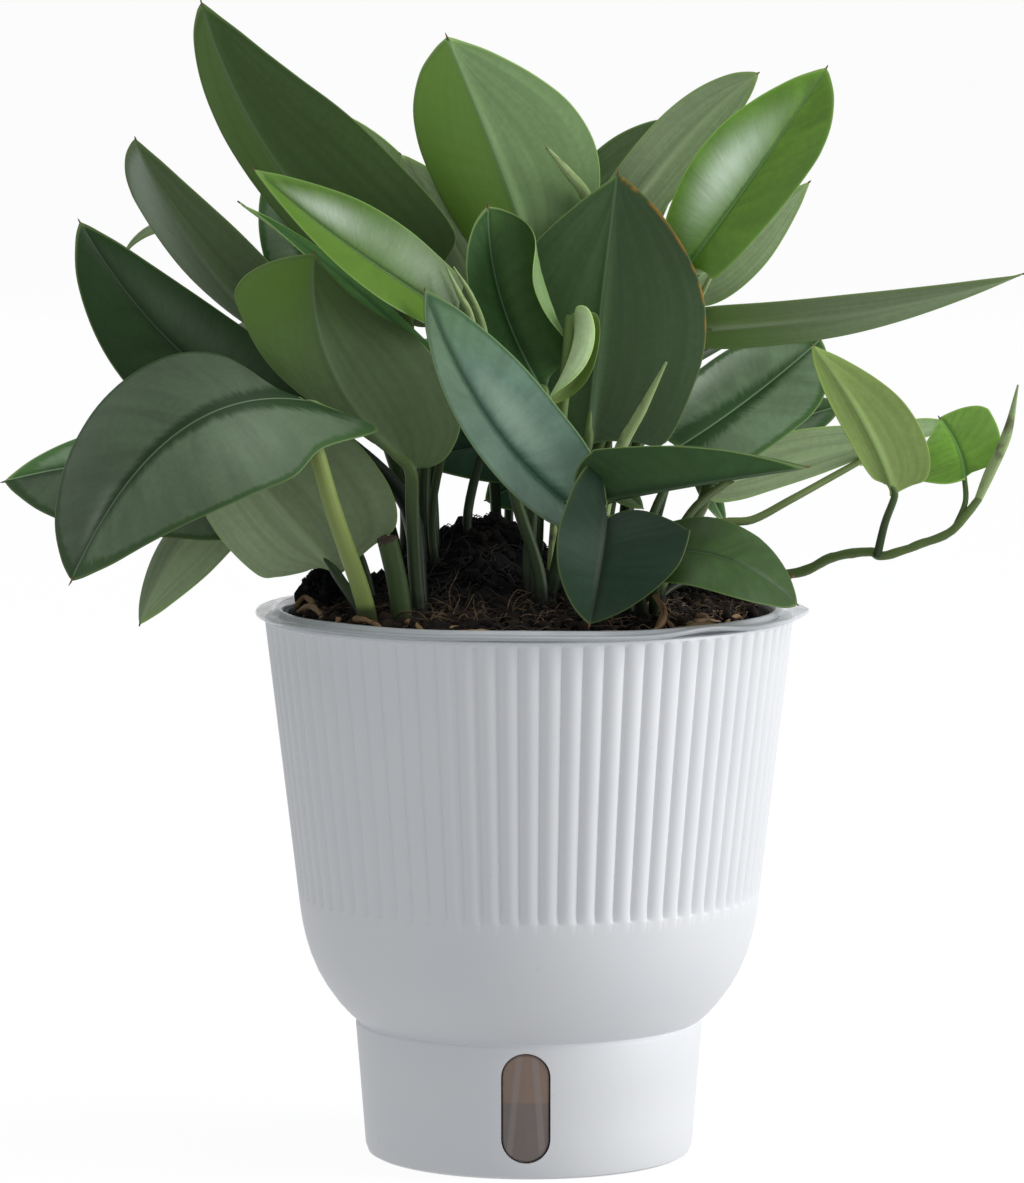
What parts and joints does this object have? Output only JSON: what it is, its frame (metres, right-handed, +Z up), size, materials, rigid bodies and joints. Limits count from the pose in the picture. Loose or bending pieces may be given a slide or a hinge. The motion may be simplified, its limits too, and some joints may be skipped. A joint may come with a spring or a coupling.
{
  "type": "potted sterling silver scindapsus",
  "caption": "Leafy silver scindapsus house plant growing from soil in a black grow pot, set in a clear flanged liner inside a ribbed white pot with a sight window.",
  "frame": {"origin": "centre of the outer pot's flat base, on the surface that it stands on", "axes": "+Z up, +X to the right seen from the front, where the sight window is, +Y to the back"},
  "size_m": [0.3001, 0.191, 0.3401],
  "materials": {
    "white_pot": "matte white moulded plastic",
    "smoked_pane": "smoky, slightly glossy",
    "clear_plastic": "clear, faintly blue, glossy",
    "black_plastic": "matte black",
    "peat": "rough and crumbly",
    "silver_foliage": "satin leaf with a silver sheen and a dark green midrib band",
    "young_foliage": "glossy young leaf"
  },
  "bodies": {
    "root": {"outer_pot": "white_pot", "window_pane": "smoked_pane", "clear_liner": "clear_plastic", "grow_pot": "black_plastic", "soil": "peat", "shoot_front_left": "silver_foliage", "shoot_left": "silver_foliage", "shoot_low_left": "silver_foliage", "shoot_tall_left": "silver_foliage", "shoot_bright": "young_foliage", "shoot_behind_bright": "silver_foliage", "shoot_broad_centre": "silver_foliage", "shoot_tall_centre": "silver_foliage", "shoot_front_centre": "silver_foliage", "shoot_front_right": "silver_foliage", "shoot_low_right": "silver_foliage", "shoot_tall_right": "silver_foliage", "shoot_trailing": "young_foliage", "shoot_back_left": "silver_foliage", "shoot_back_centre": "silver_foliage", "shoot_back_right": "silver_foliage"}
  },
  "joints": []
}
